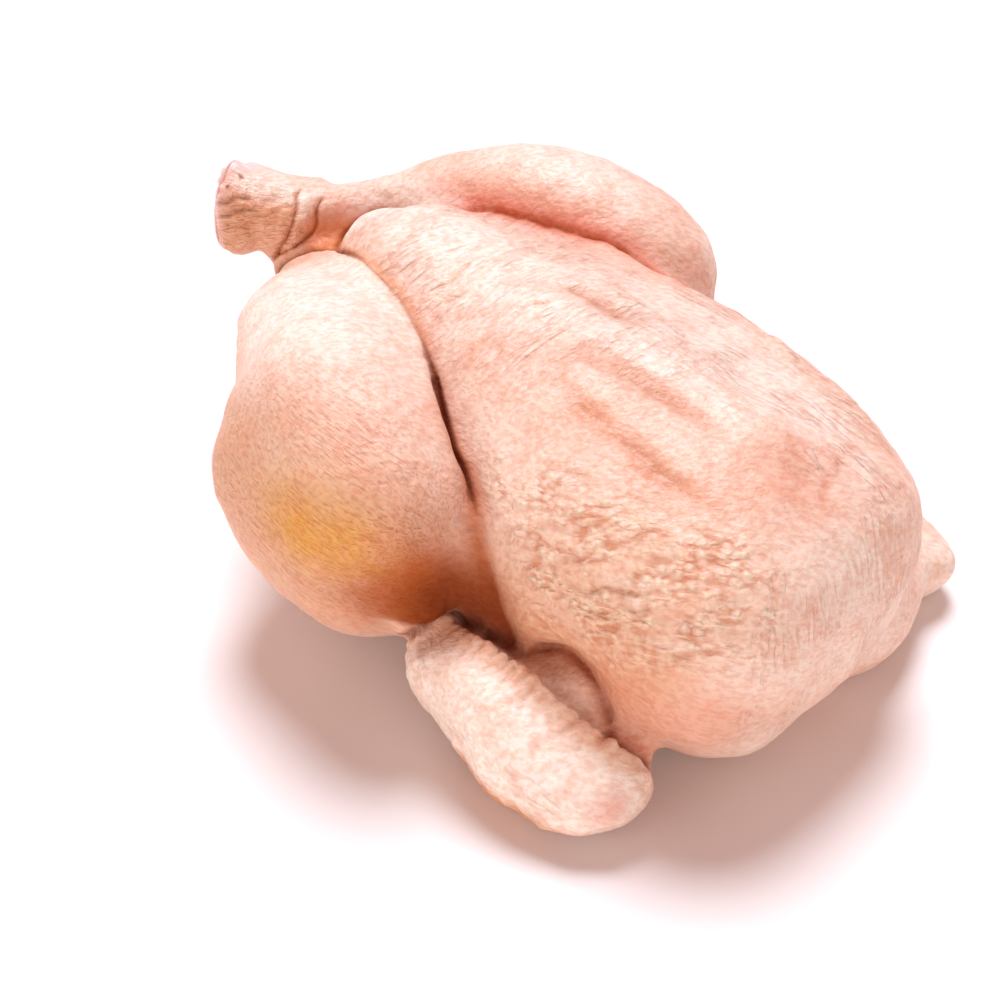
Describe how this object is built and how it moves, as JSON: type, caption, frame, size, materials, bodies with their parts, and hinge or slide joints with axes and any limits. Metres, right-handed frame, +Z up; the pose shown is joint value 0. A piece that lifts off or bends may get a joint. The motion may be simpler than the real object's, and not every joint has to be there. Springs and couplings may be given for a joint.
{
  "type": "whole raw chicken",
  "caption": "Plucked whole raw bird lying on its back, breast up, with crossed legs, folded wings and a flat underside to rest on.",
  "frame": {"origin": "on the surface that the bird lies on, under the middle of its bounding box", "axes": "+X from the tail to the neck end, +Y to the bird's right side, +Z up from the back to the breast"},
  "size_m": [0.2564, 0.1836, 0.1017],
  "materials": {
    "skin": "moist pale pink skin, satin with soft wet highlights"
  },
  "bodies": {
    "root": {"chicken": "skin"}
  },
  "joints": []
}
